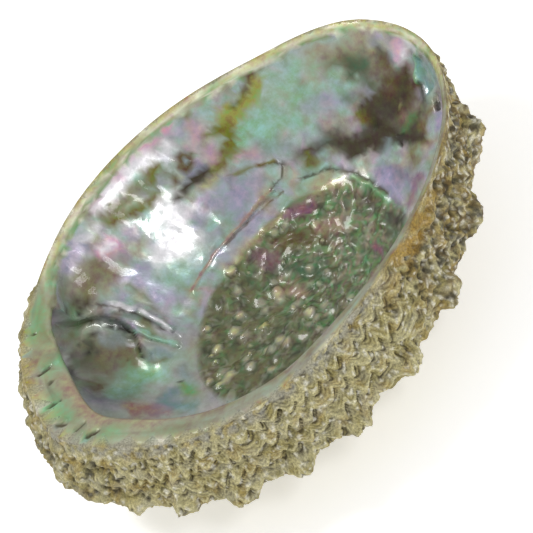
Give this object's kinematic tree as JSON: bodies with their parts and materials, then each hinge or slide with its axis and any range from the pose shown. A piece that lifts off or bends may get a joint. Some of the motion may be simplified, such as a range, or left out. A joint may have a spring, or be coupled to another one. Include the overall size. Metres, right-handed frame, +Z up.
{
  "type": "abalone shell",
  "caption": "Large abalone shell lying on its back as a natural dish, with a nacre bowl, muscle scar, inner-lip ledge, crusted outside and a row of tubercles.",
  "frame": {"origin": "middle of the shell's box, on the surface that the shell rests on", "axes": "+X towards the front tip, -Y to the inner-lip side with the row of tubercles, +Z up out of the mouth"},
  "size_m": [0.152, 0.1216, 0.0429],
  "materials": {
    "shell": "natural nacre inside, matt lime crust outside"
  },
  "bodies": {
    "root": {"shell": "shell"}
  },
  "joints": []
}
